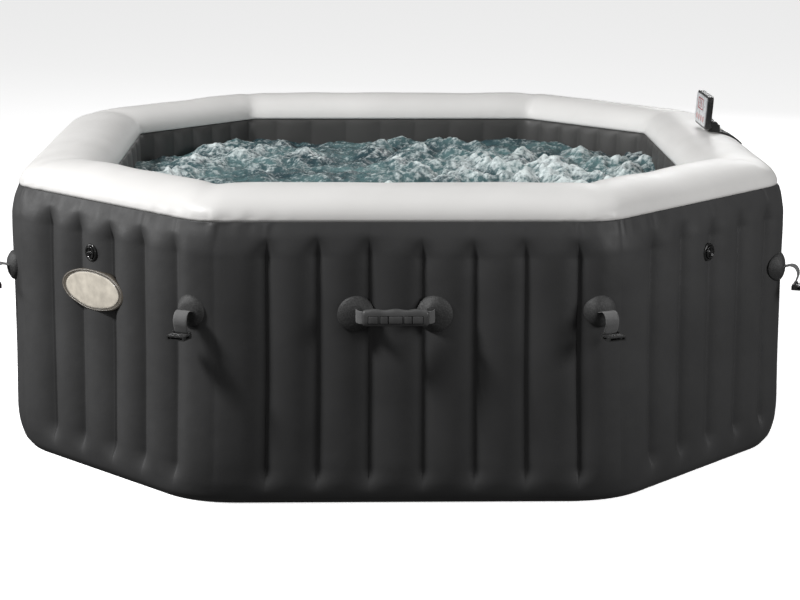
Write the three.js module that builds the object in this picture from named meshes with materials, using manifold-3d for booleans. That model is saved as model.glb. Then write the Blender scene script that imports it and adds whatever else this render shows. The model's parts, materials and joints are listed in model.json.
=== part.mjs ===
// Inflatable octagonal hot tub, in millimetres. +Z is up, -Y is the front, and the origin is the centre of the
// tub's underside. The tub is a ring of air chambers made of thin skins: a fluted outer wall, an arched rim
// and an inner wall, standing on a base sheet that is also the floor. Fittings are placed on its faces.
import * as THREE from "three";
import { mergeVertices } from "three/addons/utils/BufferGeometryUtils.js";
import Module from "manifold-3d";

const wasm = await Module();
wasm.setup();

// ---- driving dimensions ----
const GAP = 0.35; // clearance between touching pieces
const SKIN = 2.5; // thickness of every air-chamber skin
const PITCH = 119; // distance between two upright welds of the outer wall
const LONG_FLUTES = 8; // flutes along a front, back or side face
const CHAMFER_FLUTES = 6; // flutes along each of the four chamfers
const FLUTES = 4 * (LONG_FLUTES + CHAMFER_FLUTES);
const FACE_HALF = (PITCH * LONG_FLUTES) / 2;
const WALL_HALF = FACE_HALF + (PITCH * CHAMFER_FLUTES) / Math.SQRT2; // centre to the outer wall's widest line
const SEAM_Z = 667; // the seam between the outer wall and the rim
const SEAM_HALF = 957;
const SEAM_FACE = 466;
const RIM_HALF = 835; // the line of the rim's crest
const RIM_TOP = 735;
const INNER_HALF = 741; // the seam between the rim and the inner wall
const INNER_FACE = 426;
const ANCHOR_Z = 462; // height of the cover anchors
const HANDLE_Z = 458;
const ANCHOR_PATCH = 38; // radius of the round domed patches under the cover anchors
const ANCHOR_SHIFT = -22; // the anchors sit a little clockwise of the corners, with the flutes
const HANDLE_PATCH = 43; // and of those under the handles
const PATCH_PROUD = 14;

// ---- colours, as [colour, roughness, metalness] ----
const WALL_SKIN = [0x2b2b2c, 0.5, 0];
const RIM_SKIN = [0xeceae6, 0.45, 0];
const INNER_SKIN = [0x3a3a3b, 0.5, 0];
const WEB = [0x8a8d90, 0.9, 0];
const PATCH = [0x242424, 0.7, 0];
const WEBBING = [0x4a4a4a, 0.85, 0];
const HARD_BLACK = [0x151515, 0.35, 0];
const GRIP = [0x2a2a2a, 0.6, 0];
const FITTING = [0x55585c, 0.5, 0];
const SILVER = [0xd5d6d8, 0.3, 0.3];
const DISPLAY = [0x5a1418, 0.15, 0];
const CREAM = [0xe6ddd0, 0.6, 0];

const tub = new THREE.Group();
const UP = new THREE.Vector3(0, 0, 1);

function addMesh(name, geometry, [color, roughness, metalness], parent = tub) {
  const mesh = new THREE.Mesh(geometry, new THREE.MeshStandardMaterial({ color, roughness, metalness }));
  mesh.name = name;
  parent.add(mesh);
  return mesh;
}

// ---- solids: joins and cuts ----
function toSolid(geometry) {
  const bare = geometry.clone();
  bare.deleteAttribute("normal");
  bare.deleteAttribute("uv");
  const merged = mergeVertices(bare, 1e-4);
  const vertProperties = new Float32Array(merged.attributes.position.array);
  const triVerts = new Uint32Array(merged.index.array);
  return new wasm.Manifold(new wasm.Mesh({ numProp: 3, vertProperties, triVerts }));
}

function toGeometry(solid) {
  const { vertProperties, triVerts } = solid.getMesh();
  const geometry = new THREE.BufferGeometry();
  geometry.setAttribute("position", new THREE.BufferAttribute(new Float32Array(vertProperties), 3));
  geometry.setIndex(new THREE.BufferAttribute(new Uint32Array(triVerts), 1));
  geometry.computeVertexNormals();
  return geometry;
}

function cut(geometry, ...cutters) {
  return toGeometry(cutters.reduce((solid, cutter) => solid.subtract(toSolid(cutter)), toSolid(geometry)));
}

function join(...geometries) {
  return toGeometry(geometries.map(toSolid).reduce((a, b) => a.add(b)));
}

// ---- plan outline: t counts flutes anticlockwise from the front left corner, with a crown at each whole t ----
const FACES = [];
for (let quarter = 0; quarter < 4; quarter++) {
  FACES.push({ turn: quarter * 90, flutes: LONG_FLUTES, chamfer: false });
  FACES.push({ turn: quarter * 90, flutes: CHAMFER_FLUTES, chamfer: true });
}

const CORNERS = [0, 8, 14, 22, 28, 36, 42, 50]; // the values of t at the corners

// a point of the octagon whose long faces are `half` from the centre and `face` from their middle to a corner
function outlinePoint(t, half, face, inset = 0) {
  let left = ((t % FLUTES) + FLUTES) % FLUTES;
  let index = 0;
  while (left >= FACES[index].flutes) {
    left -= FACES[index].flutes;
    index += 1;
  }
  const { turn, flutes, chamfer } = FACES[index];
  const start = chamfer ? new THREE.Vector3(face, -half, 0) : new THREE.Vector3(-face, -half, 0);
  const end = chamfer ? new THREE.Vector3(half, -face, 0) : new THREE.Vector3(face, -half, 0);
  const along = end.clone().sub(start).normalize();
  const outward = new THREE.Vector3(along.y, -along.x, 0);
  const point = start.lerp(end, left / flutes).addScaledVector(outward, -inset);
  return point.applyAxisAngle(UP, THREE.MathUtils.degToRad(turn));
}

// one closed ring of points at height z; `depth` is how far the welds lie behind the crowns
function fluted({ z, half, face, depth }, offset = 0) {
  const ring = [];
  for (let flute = 0; flute < FLUTES; flute++) {
    for (const step of [-0.2, 0.2, 0.5]) {
      const inset = depth * (1 - Math.abs(Math.cos(Math.PI * step))) - offset;
      ring.push(outlinePoint(flute + step, half, face, inset).setZ(z));
    }
  }
  return ring;
}

// the same, smooth, with three points round each corner
function plain(z, half, face) {
  const ring = [];
  let corner = 0;
  for (const { flutes } of FACES) {
    const tip = outlinePoint(corner, half, face);
    const before = outlinePoint(corner - 0.4, half, face);
    const after = outlinePoint(corner + 0.4, half, face);
    const middle = before.clone().add(after).multiplyScalar(0.25).addScaledVector(tip, 0.5);
    ring.push(before.setZ(z), middle.setZ(z), after.setZ(z));
    corner += flutes;
  }
  return ring;
}

// triangles through a stack of equal rings: closed on itself like a tyre, or capped at both ends
function loft(rings, capped) {
  const size = rings[0].length;
  const points = rings.flat();
  const index = [];
  const bands = capped ? rings.length - 1 : rings.length;
  for (let band = 0; band < bands; band++) {
    const low = band * size;
    const high = ((band + 1) % rings.length) * size;
    for (let i = 0; i < size; i++) {
      const next = (i + 1) % size;
      index.push(low + i, low + next, high + next, low + i, high + next, high + i);
    }
  }
  if (capped) {
    const bottom = points.push(new THREE.Vector3(0, 0, rings[0][0].z)) - 1;
    const top = points.push(new THREE.Vector3(0, 0, rings.at(-1)[0].z)) - 1;
    const last = (rings.length - 1) * size;
    for (let i = 0; i < size; i++) {
      const next = (i + 1) % size;
      index.push(bottom, next, i, top, last + i, last + next);
    }
  }
  const geometry = new THREE.BufferGeometry().setFromPoints(points);
  geometry.setIndex(index);
  geometry.computeVertexNormals();
  return geometry;
}

// ---- the outer wall ----
const WALL_LEVELS = [
  { z: 0.6, half: 948, face: 492, depth: 0 },
  { z: 10, half: 967, face: 490, depth: 0 },
  { z: 55, half: 978, face: 486, depth: 2 },
  { z: 110, half: 981, face: 481, depth: 16 },
  { z: 330, half: WALL_HALF, face: FACE_HALF, depth: 16 },
  { z: 600, half: 975, face: 474, depth: 15 },
  { z: SEAM_Z, half: SEAM_HALF, face: SEAM_FACE, depth: 0 },
];

function wallEnvelope() {
  return loft(WALL_LEVELS.map((level) => fluted(level, GAP)), true);
}

function wallLevelAt(z) {
  const above = WALL_LEVELS.findIndex((level) => level.z >= z);
  const [low, high] = [WALL_LEVELS[above - 1], WALL_LEVELS[above]];
  const share = (z - low.z) / (high.z - low.z);
  const blend = (key) => THREE.MathUtils.lerp(low[key], high[key], share);
  return { z, half: blend("half"), face: blend("face"), depth: blend("depth") };
}

function outerWall(...holes) {
  const outside = WALL_LEVELS.map((level) => fluted(level));
  const inside = WALL_LEVELS.slice(1).reverse().map((level) => fluted(level, -SKIN));
  const foot = { ...WALL_LEVELS[0], z: WALL_LEVELS[0].z + SKIN };
  inside[inside.length - 1] = fluted(foot, -SKIN);
  return cut(loft([...outside, ...inside], false), ...holes);
}

// ---- the rim, an arch in section ----
function rimFace(half) {
  return THREE.MathUtils.mapLinear(half, INNER_HALF, SEAM_HALF, INNER_FACE, SEAM_FACE);
}

function rimProfile(offset, steps) {
  const profile = [];
  const base = SEAM_Z + GAP;
  for (let step = 0; step <= 2 * steps; step++) {
    const angle = (Math.PI * step) / (2 * steps);
    const reach = step <= steps ? SEAM_HALF - RIM_HALF : RIM_HALF - INNER_HALF;
    const half = RIM_HALF + (reach + offset) * Math.cos(angle);
    profile.push([half, base + (RIM_TOP - base + offset) * Math.sin(angle)]);
  }
  return profile;
}

function rimCap() {
  const profile = [...rimProfile(0, 4), ...rimProfile(-SKIN, 4).reverse()];
  return loft(profile.map(([half, z]) => plain(z, half, rimFace(half))), false);
}

// ---- the inner wall, the base sheet and the pieces hidden between them ----
const INNER_LEVELS = [
  [SEAM_Z + GAP - 0.5, INNER_HALF],
  [330, INNER_HALF - 5],
  [SKIN + GAP, INNER_HALF + 6],
];

function innerWall(...holes) {
  const back = INNER_LEVELS.map(([z, half]) => plain(z, half + SKIN, INNER_FACE)).reverse();
  const front = INNER_LEVELS.map(([z, half]) => plain(z, half, INNER_FACE));
  return cut(loft([...back, ...front], false), ...holes);
}

function baseSheet() {
  const half = WALL_LEVELS[0].half - 10;
  return loft([0, SKIN].map((z) => plain(z, half, WALL_LEVELS[0].face)), true);
}

// fabric beams from each weld of the outer wall to the inner wall, on a tape behind the inner wall
function tensionBeams(...holes) {
  const thick = 1.2;
  const back = INNER_HALF + 12;
  const tip = 935;
  const outside = [];
  const inside = [];
  for (let flute = 0; flute < FLUTES; flute++) {
    const foot = outlinePoint(flute + 0.5, back + thick, INNER_FACE);
    const far = outlinePoint(flute + 0.5, tip, SEAM_FACE);
    const side = far.clone().sub(foot).normalize().cross(UP).multiplyScalar(-thick / 2);
    outside.push(foot.clone().sub(side), far.clone().sub(side), far.clone().add(side), foot.clone().add(side));
    inside.push(outlinePoint(flute + 0.5, back, INNER_FACE));
    if (CORNERS.includes((flute + 1) % FLUTES)) {
      outside.push(outlinePoint(flute + 1, back + thick, INNER_FACE));
      inside.push(outlinePoint(flute + 1, back, INNER_FACE));
    }
  }
  const outline = new THREE.Shape(outside.map((point) => new THREE.Vector2(point.x, point.y)));
  outline.holes.push(new THREE.Path(inside.map((point) => new THREE.Vector2(point.x, point.y))));
  const beams = new THREE.ExtrudeGeometry(outline, { depth: 610, bevelEnabled: false });
  return cut(beams.translate(0, 0, 40), ...holes);
}

function bubbleChannel() {
  const section = [[732, 6], [732, 26], [716, 22], [714, 6]];
  return loft(section.map(([half, z]) => plain(z, half, INNER_FACE - 8)), false);
}

// ---- placing fittings: a group whose own +Z points out of the wall, +Y up and +X along it ----
function station(point, outward) {
  const group = new THREE.Group();
  const along = new THREE.Vector3().crossVectors(UP, outward);
  group.matrix.makeBasis(along, UP, outward).setPosition(point);
  group.matrix.decompose(group.position, group.quaternion, group.scale);
  group.updateMatrixWorld();
  tub.add(group);
  return group;
}

// geometry made in a station, trimmed so that its back follows the wall
const ENVELOPE = wallEnvelope();
function fitToWall(geometry, place) {
  const toStation = place.matrixWorld.clone().invert();
  return cut(geometry, ENVELOPE.clone().applyMatrix4(toStation));
}

function onFace(turn, along, z, chamfer = false) {
  const { half, face, depth } = wallLevelAt(z);
  const crown = depth * (1 - Math.cos(0.2 * Math.PI));
  const distance = (chamfer ? (half + face) / Math.SQRT2 : half) - crown;
  const angle = THREE.MathUtils.degToRad(turn + (chamfer ? 45 : 0));
  const point = new THREE.Vector3(along, -distance, z).applyAxisAngle(UP, angle);
  return station(point, new THREE.Vector3(0, -1, 0).applyAxisAngle(UP, angle));
}

function onCorner(corner, z) {
  const { half, face, depth } = wallLevelAt(z);
  const inset = depth * (1 - Math.cos(0.2 * Math.PI));
  const before = outlinePoint(corner - 0.2, half, face, inset);
  const after = outlinePoint(corner + 0.2, half, face, inset);
  const along = after.clone().sub(before).normalize();
  const middle = before.add(after).multiplyScalar(0.5).addScaledVector(along, ANCHOR_SHIFT);
  return station(middle.setZ(z), new THREE.Vector3(along.y, -along.x, 0));
}

// a solid of revolution about the station's +Z, from [radius, z] points
function turned(points, segments = 16) {
  const outline = points.map(([radius, z]) => new THREE.Vector2(radius, z));
  return new THREE.LatheGeometry(outline, segments).rotateX(Math.PI / 2);
}

function block(low, high) {
  const size = high.map((value, i) => value - low[i]);
  const middle = high.map((value, i) => (value + low[i]) / 2);
  return new THREE.BoxGeometry(...size).translate(...middle);
}

// a ribbon `width` wide whose edge runs through points of a plane, given as [u, v]
function ribbon(path, thick, width) {
  const points = path.map(([u, v]) => new THREE.Vector2(u, v));
  const sides = points.map((point, i) => {
    const ahead = points[Math.min(i + 1, points.length - 1)].clone();
    const run = ahead.sub(points[Math.max(i - 1, 0)]).normalize();
    return new THREE.Vector2(-run.y, run.x).multiplyScalar(thick / 2);
  });
  const left = points.map((point, i) => point.clone().add(sides[i]));
  const right = points.map((point, i) => point.clone().sub(sides[i])).reverse();
  const shape = new THREE.Shape([...left, ...right]);
  return new THREE.ExtrudeGeometry(shape, { depth: width, bevelEnabled: false }).translate(0, 0, -width / 2);
}

// ---- domed patches ----
function domedPatch(place, radius) {
  const deep = 30;
  const dome = new THREE.SphereGeometry(1, 14, 6).rotateX(Math.PI / 2);
  dome.scale(radius, radius, deep).translate(0, 0, PATCH_PROUD - deep);
  return fitToWall(dome, place);
}

// ---- cover anchors: patch, webbing and the socket half of a buckle ----
const ANCHOR_STRAP = [[16, 0], [25, 5], [36, 5], [45, -2], [48, -15], [44, -30], [40, -41]]; // [out, up]
const STRAP_THICK = 2.4;
const ANCHOR_STRAP_WIDTH = 34;
const BUCKLE_TOP = -43;
const BUCKLE_THICK = 10;
const BUCKLE_OUT = [36, 74];
const BUCKLE_HALF = 25;
const BUCKLE_WALL = 2.5;

function anchorStrap() {
  return ribbon(ANCHOR_STRAP, STRAP_THICK, ANCHOR_STRAP_WIDTH).rotateY(-Math.PI / 2);
}

function buckleSocket() {
  const bottom = BUCKLE_TOP - BUCKLE_THICK;
  const [near, far] = BUCKLE_OUT;
  const outline = new THREE.Shape();
  outline.moveTo(-BUCKLE_HALF, near + 4);
  outline.lineTo(-BUCKLE_HALF + 4, near);
  outline.lineTo(BUCKLE_HALF - 4, near);
  outline.lineTo(BUCKLE_HALF, near + 4);
  outline.lineTo(BUCKLE_HALF - 3, far);
  outline.lineTo(-BUCKLE_HALF + 3, far);
  const shell = new THREE.ExtrudeGeometry(outline, { depth: BUCKLE_THICK, bevelEnabled: false });
  shell.rotateX(Math.PI / 2).translate(0, BUCKLE_TOP, 0);
  const [low, high] = [bottom + BUCKLE_WALL, BUCKLE_TOP - BUCKLE_WALL];
  const mouth = block([-18, low, near + 12], [18, high, far + 1]);
  const windows = block([-BUCKLE_HALF - 1, low, far - 24], [BUCKLE_HALF + 1, high, far - 10]);
  return cut(shell, mouth, windows);
}

function addAnchors() {
  CORNERS.forEach((corner, i) => {
    const place = onCorner(corner, ANCHOR_Z);
    addMesh(`anchor_patch_${i + 1}`, domedPatch(place, ANCHOR_PATCH), PATCH, place);
    addMesh(`anchor_strap_${i + 1}`, anchorStrap(), WEBBING, place);
    addMesh(`anchor_buckle_${i + 1}`, buckleSocket(), HARD_BLACK, place);
  });
}

// ---- carrying handles ----
const HANDLE_SPREAD = 90; // patch centre to the handle's middle
const HANDLE_OUT = 40; // the grip's middle, out from the wall
const HANDLE_ROOT = 27; // where the free strap starts, out from the wall
const GRIP_HALF = [75, 20, 10]; // half length, half height and half depth
const STRAP_WIDTH = 28;

function handleStrap() {
  const half = [[86, HANDLE_ROOT], [83, 34], [77, HANDLE_OUT]];
  const path = [...half.map(([u, v]) => [-u, v]), ...half.reverse()];
  return ribbon(path, STRAP_THICK, STRAP_WIDTH).rotateX(Math.PI / 2);
}

function handleGrip() {
  const [long, high, deep] = GRIP_HALF;
  const outline = new THREE.Shape();
  outline.moveTo(-long + 5, -high);
  outline.quadraticCurveTo(0, -high + 5, long - 5, -high);
  outline.quadraticCurveTo(long, -high, long, -high + 6);
  outline.lineTo(long, high - 6);
  outline.quadraticCurveTo(long, high, long - 5, high);
  outline.quadraticCurveTo(0, high - 5, -long + 5, high);
  outline.quadraticCurveTo(-long, high, -long, high - 6);
  outline.lineTo(-long, -high + 6);
  outline.quadraticCurveTo(-long, -high, -long + 5, -high);
  const body = new THREE.ExtrudeGeometry(outline, {
    depth: 2 * deep - 6, bevelThickness: 3, bevelSize: 3, bevelOffset: -3, bevelSegments: 1, curveSegments: 4,
  });
  body.translate(0, 0, HANDLE_OUT - deep + 3);
  const slot = block(
    [-long - 1, -STRAP_WIDTH / 2 - 0.5, HANDLE_OUT - 2],
    [long + 1, STRAP_WIDTH / 2 + 0.5, HANDLE_OUT + 2],
  );
  return cut(body, slot);
}

function addHandle(name, turn) {
  const shift = -22; // the handle sits on the middle flute, a little left of the face's middle
  for (const [side, sign] of [["left", -1], ["right", 1]]) {
    const place = onFace(turn, shift + sign * HANDLE_SPREAD, HANDLE_Z);
    addMesh(`${name}_patch_${side}`, domedPatch(place, HANDLE_PATCH), PATCH, place);
  }
  const place = onFace(turn, shift, HANDLE_Z);
  addMesh(`${name}_strap`, handleStrap(), WEBBING, place);
  addMesh(`${name}_grip`, handleGrip(), GRIP, place);
}

// ---- inflation valves and the badge, on the front chamfers ----
function addValve(name, turn, along) {
  const place = onFace(turn, along, 547, true);
  const body = turned([[0, -25], [22, -25], [22, 3], [19, 6], [16, 6], [16, 1], [0, 1]]);
  const cap = turned([[0, 1.6], [15.2, 1.6], [15.2, 9], [13, 11], [0, 11]]);
  const bar = block([-12, -2, 10], [12, 2, 14]);
  addMesh(`${name}_body`, fitToWall(body, place), HARD_BLACK, place);
  addMesh(`${name}_cap`, join(cap, bar), HARD_BLACK, place);
}

function addBadge() {
  const place = onFace(-90, -20, 456, true);
  const oval = new THREE.Shape().absellipse(0, 0, 120, 50, 0, 2 * Math.PI);
  const plate = new THREE.ExtrudeGeometry(oval, {
    depth: 1.2, bevelThickness: 0.8, bevelSize: 2, bevelOffset: -2, bevelSegments: 1, curveSegments: 10,
  });
  addMesh("badge", plate.translate(0, 0, 4), CREAM, place);
}

// ---- water, air and drain fittings, on the right-hand face under the control panel ----
const PORT_Z = 130;
const PORT_SIDE = 119;
const TUBE_RADIUS = 25;

function portCutter(place, radius) {
  const drill = new THREE.CylinderGeometry(radius, radius, 600, 16).rotateX(Math.PI / 2).translate(0, 0, -100);
  return drill.applyMatrix4(place.matrixWorld);
}

function depthOfInnerWall(place) {
  return INNER_HALF - 5 - place.position.x; // the inner wall's face, seen from the station
}

function addWaterPort(number, place) {
  const inside = depthOfInnerWall(place);
  const flange = 40;
  const tube = turned([
    [0, inside - 5], [TUBE_RADIUS, inside - 5], [TUBE_RADIUS, 3.5], [flange, 3.5], [flange, 8],
    [TUBE_RADIUS, 9], [TUBE_RADIUS, 34], [19, 34], [19, 20], [0, 20],
  ]);
  const plug = turned([[0, 21], [18.4, 21], [18.4, 36], [0, 36]]);
  const bar = block([-15, -3, 35], [15, 3, 42]);
  const strainer = turned([[0, inside - 20], [30, inside - 20], [37, inside - 14], [37, inside - 6], [0, inside - 6]]);
  const slots = [-18, -9, 0, 9, 18].map((y) => block([-22, y - 2, inside - 21], [22, y + 2, inside - 17]));
  addMesh(`water_connector_${number}`, tube, FITTING, place);
  addMesh(`connector_plug_${number}`, join(plug, bar), HARD_BLACK, place);
  addMesh(`strainer_${number}`, cut(strainer, ...slots), FITTING, place);
}

function addAirPort(place) {
  const tube = turned([
    [0, -200], [14, -200], [14, 3.5], [26, 3.5], [26, 8], [14, 9], [14, 40], [0, 40],
  ]);
  addMesh("air_connector", tube, FITTING, place);
}

function addDrain(place) {
  const body = turned([[0, -150], [15, -150], [15, 3.5], [26, 3.5], [26, 7], [0, 7]]);
  const cap = turned([[0, 7.5], [19, 7.5], [19, 18], [0, 18]]);
  const bar = block([-13, -2.5, 17], [13, 2.5, 24]);
  addMesh("drain_body", body, FITTING, place);
  addMesh("drain_cap", join(cap, bar), HARD_BLACK, place);
}

// ---- control panel, standing on the right-hand rim and facing the water ----
const PANEL_Y = 40;
const PANEL_SIZE = [15, 165, 90]; // thickness, width and height
const PANEL_PIVOT = new THREE.Vector3(872, PANEL_Y, 752);
const PANEL_LEAN = THREE.MathUtils.degToRad(4);
const FACE_THICK = 2.5;
const BUTTON_RADIUS = 8;
const BUTTON_SPREAD = 32;

function panelCradle() {
  const under = rimProfile(0.4, 10).slice(3, 10);
  const over = rimProfile(6, 10).slice(3, 10).reverse();
  const outline = new THREE.Shape([...under, ...over].map(([x, z]) => new THREE.Vector2(x, z)));
  const saddle = new THREE.ExtrudeGeometry(outline, { depth: 76, bevelEnabled: false });
  saddle.rotateX(Math.PI / 2).translate(0, PANEL_Y + 38, 0);
  const ears = [-1, 1].map((side) => {
    const ear = new THREE.CylinderGeometry(9, 9, 12, 20);
    return ear.translate(PANEL_PIVOT.x, PANEL_Y + side * 30, PANEL_PIVOT.z);
  });
  const webs = [-1, 1].map((side) => {
    const low = [PANEL_PIVOT.x - 9, PANEL_Y + side * 30 - 6, 728];
    return block(low, [PANEL_PIVOT.x + 14, PANEL_Y + side * 30 + 6, PANEL_PIVOT.z]);
  });
  const clear = loft(rimProfile(0.4, 10).map(([half, z]) => plain(z, half, rimFace(half))), false);
  return cut(join(saddle, ...ears, ...webs), clear);
}

function panelPlate(size, corner, depth) {
  const [width, height] = size;
  const outline = new THREE.Shape();
  const [w, h] = [width / 2, height / 2];
  outline.moveTo(-w + corner, -h).lineTo(w - corner, -h).quadraticCurveTo(w, -h, w, -h + corner);
  outline.lineTo(w, h - corner).quadraticCurveTo(w, h, w - corner, h).lineTo(-w + corner, h);
  outline.quadraticCurveTo(-w, h, -w, h - corner).lineTo(-w, -h + corner).quadraticCurveTo(-w, -h, -w + corner, -h);
  return new THREE.ExtrudeGeometry(outline, { depth, bevelEnabled: false, curveSegments: 3 });
}

function addPanel() {
  addMesh("panel_cradle", panelCradle(), HARD_BLACK);
  const [thick, width, height] = PANEL_SIZE;
  const front = -34; // the case's front, measured from the pivot; the face looks along local -X
  const panel = new THREE.Group();
  panel.position.copy(PANEL_PIVOT);
  panel.rotation.y = PANEL_LEAN;
  tub.add(panel);
  const upright = (geometry, x, y, z) => geometry.rotateX(Math.PI / 2).rotateZ(Math.PI / 2).translate(x, y, z);
  const middle = height / 2 - 9;
  const shell = upright(panelPlate([width, height], 14, thick), front, 0, middle);
  const barrel = new THREE.CylinderGeometry(8, 8, 46, 20);
  const neck = block([front + thick - 1, -23, -8], [0, 23, 8]);
  addMesh("panel_case", join(shell, neck, barrel), HARD_BLACK, panel);
  const holes = [];
  for (let i = 0; i < 4; i++) {
    const place = [front - GAP - FACE_THICK, (i - 1.5) * BUTTON_SPREAD, middle - 22];
    const axis = (radius, length) => new THREE.CylinderGeometry(radius, radius, length, 14).rotateZ(Math.PI / 2);
    holes.push(axis(BUTTON_RADIUS + 0.5, 12).translate(...place));
    const button = axis(BUTTON_RADIUS, 2).translate(place[0] + 0.2, place[1], place[2]);
    addMesh(`panel_button_${i + 1}`, button, FITTING, panel);
  }
  const face = upright(panelPlate([width - 12, height - 12], 10, FACE_THICK), front - GAP - FACE_THICK, 0, middle);
  addMesh("panel_face", cut(face, ...holes), SILVER, panel);
  const window = upright(panelPlate([78, 34], 4, 1.2), front - 2 * GAP - FACE_THICK - 1.2, 0, middle + 16);
  addMesh("panel_display", window, DISPLAY, panel);
}

// ---- assembly ----
const waterPorts = [onFace(90, -PORT_SIDE, PORT_Z), onFace(90, PORT_SIDE, PORT_Z)];
const airPort = onFace(90, 0, 300);
const drain = onFace(90, 3 * PORT_SIDE, 60);
const drills = [
  ...waterPorts.map((place) => portCutter(place, TUBE_RADIUS + 0.5)),
  portCutter(airPort, 14.5),
  portCutter(drain, 15.5),
];

addMesh("outer_wall", outerWall(...drills), WALL_SKIN);
addMesh("rim_cap", rimCap(), RIM_SKIN);
addMesh("inner_wall", innerWall(...drills.slice(0, 2)), INNER_SKIN);
addMesh("base_sheet", baseSheet(), INNER_SKIN);
addMesh("tension_beams", tensionBeams(...drills), WEB);
addMesh("bubble_channel", bubbleChannel(), FITTING);
addAnchors();
addHandle("front_handle", 0);
addHandle("back_handle", 180);
addValve("valve_left", -90, -22);
addValve("valve_right", 0, 12);
addBadge();
waterPorts.forEach((place, i) => addWaterPort(i + 1, place));
addAirPort(airPort);
addDrain(drain);
addPanel();

export default tub;
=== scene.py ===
"""The looks of an octagonal inflatable hot tub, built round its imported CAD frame.

Metres, +Z up, -Y the front. Soft skins are numpy surfaces whose outline is counted in flutes (t), going
anticlockwise from the front left corner. Fittings stand on stations: frames read from the CAD's joints, with
+Z out of the wall.
"""
import json
import math

import bmesh
import bpy
import numpy as np
from mathutils import Matrix, Vector, noise
from mathutils.bvhtree import BVHTree


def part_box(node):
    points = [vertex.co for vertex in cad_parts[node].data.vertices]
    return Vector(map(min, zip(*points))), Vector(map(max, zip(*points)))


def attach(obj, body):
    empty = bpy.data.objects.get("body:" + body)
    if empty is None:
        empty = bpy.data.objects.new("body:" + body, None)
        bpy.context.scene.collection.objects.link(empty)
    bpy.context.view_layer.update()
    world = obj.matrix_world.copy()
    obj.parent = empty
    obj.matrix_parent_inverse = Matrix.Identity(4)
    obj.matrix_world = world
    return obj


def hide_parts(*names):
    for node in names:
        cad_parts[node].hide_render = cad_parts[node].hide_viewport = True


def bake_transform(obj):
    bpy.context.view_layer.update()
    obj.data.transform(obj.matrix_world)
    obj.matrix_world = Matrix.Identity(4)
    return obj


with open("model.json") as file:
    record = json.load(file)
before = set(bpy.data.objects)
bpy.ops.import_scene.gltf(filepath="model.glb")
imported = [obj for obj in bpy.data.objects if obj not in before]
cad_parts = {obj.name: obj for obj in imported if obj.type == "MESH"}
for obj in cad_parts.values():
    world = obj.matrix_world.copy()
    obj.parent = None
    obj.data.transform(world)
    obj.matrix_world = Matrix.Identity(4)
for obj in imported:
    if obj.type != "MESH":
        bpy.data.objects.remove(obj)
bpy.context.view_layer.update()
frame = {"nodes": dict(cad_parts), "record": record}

# ---- sizes shared by the soft skins ----
FLUTES = 56
STARTS = np.array([0, 8, 14, 22, 28, 36, 42, 50, 56])  # t at each corner of the octagon
SEAM_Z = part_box("outer_wall")[1][2]
SEAM_HALF, SEAM_FACE = 0.957, 0.466
RIM_HALF, RIM_TOP = 0.835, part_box("rim_cap")[1][2]
INNER_HALF, INNER_FACE = 0.741, 0.426
FLUTE_DEPTH = 0.021
PHASE = -0.17  # the flutes run a little to the left of the corners
BASE_HALF, BASE_FACE = 0.935, 0.489
WATER_Z = 0.606

collection = bpy.context.scene.collection


# ---------------------------------------------------------------- meshes
def add_object(name, mesh, materials, smooth=True):
    piece = bpy.data.objects.new(name, mesh)
    collection.objects.link(piece)
    for entry in materials if isinstance(materials, (list, tuple)) else [materials]:
        mesh.materials.append(entry)
    mesh.polygons.foreach_set("use_smooth", [smooth] * len(mesh.polygons))
    return piece


def grid_faces(rows, columns, wrap_rows=False, wrap_columns=True):
    faces = []
    for r in range(rows if wrap_rows else rows - 1):
        low, high = r * columns, ((r + 1) % rows) * columns
        for c in range(columns if wrap_columns else columns - 1):
            d = (c + 1) % columns
            faces.append((low + c, low + d, high + d, high + c))
    return faces


def ring_mesh(name, rings, closed):
    """A skin through equal rings of points; closed joins the last ring back to the first."""
    points = np.concatenate(rings)
    mesh = bpy.data.meshes.new(name)
    mesh.from_pydata(points.tolist(), [], grid_faces(len(rings), len(rings[0]), closed))
    return mesh


def from_bmesh(name, bm):
    bmesh.ops.recalc_face_normals(bm, faces=bm.faces)
    mesh = bpy.data.meshes.new(name)
    bm.to_mesh(mesh)
    bm.free()
    return mesh


def soften(piece, width, segments=3, angle=35):
    bevel = piece.modifiers.new("edges", "BEVEL")
    bevel.width = width
    bevel.segments = segments
    bevel.limit_method = "ANGLE"
    bevel.angle_limit = math.radians(angle)
    bevel.harden_normals = False
    return piece


# ---------------------------------------------------------------- the plan outline
def sharp_outline(t, half, face):
    corners = np.array([
        (-face, -half), (face, -half), (half, -face), (half, face), (face, half),
        (-face, half), (-half, face), (-half, -face), (-face, -half),
    ])
    t = np.mod(t, FLUTES)
    i = np.clip(np.searchsorted(STARTS, t, side="right") - 1, 0, 7)
    share = ((t - STARTS[i]) / (STARTS[i + 1] - STARTS[i]))[:, None]
    return corners[i] * (1 - share) + corners[i + 1] * share


def outline(t, half, face, rounding):
    """Points and outward normals; rounding is how many flutes each side of a corner it is blended over."""
    offsets = np.linspace(-rounding, rounding, 13)

    def at(values):
        return np.mean([sharp_outline(values + o, half, face) for o in offsets], axis=0)

    run = at(t + 0.02) - at(t - 0.02)
    run /= np.linalg.norm(run, axis=1)[:, None]
    return at(t), np.stack([run[:, 1], -run[:, 0]], axis=1)


def curve(z, keys):
    """A smooth value along z through (z, value) keys."""
    places, values = np.array(keys).T
    spread = np.linspace(-0.008, 0.008, 7)
    return float(np.mean(np.interp(z + spread, places, values)))


def waves(t, low, high, count, seed):
    """A smooth random wave round the tub, about -1 to 1, of low to high whole waves a turn."""
    source = np.random.default_rng(seed)
    total = np.zeros_like(t)
    for _ in range(count):
        number = source.integers(low, high)
        total += np.sin(2 * np.pi * number * t / FLUTES + source.uniform(0, 2 * np.pi))
    return total / math.sqrt(count)


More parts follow.
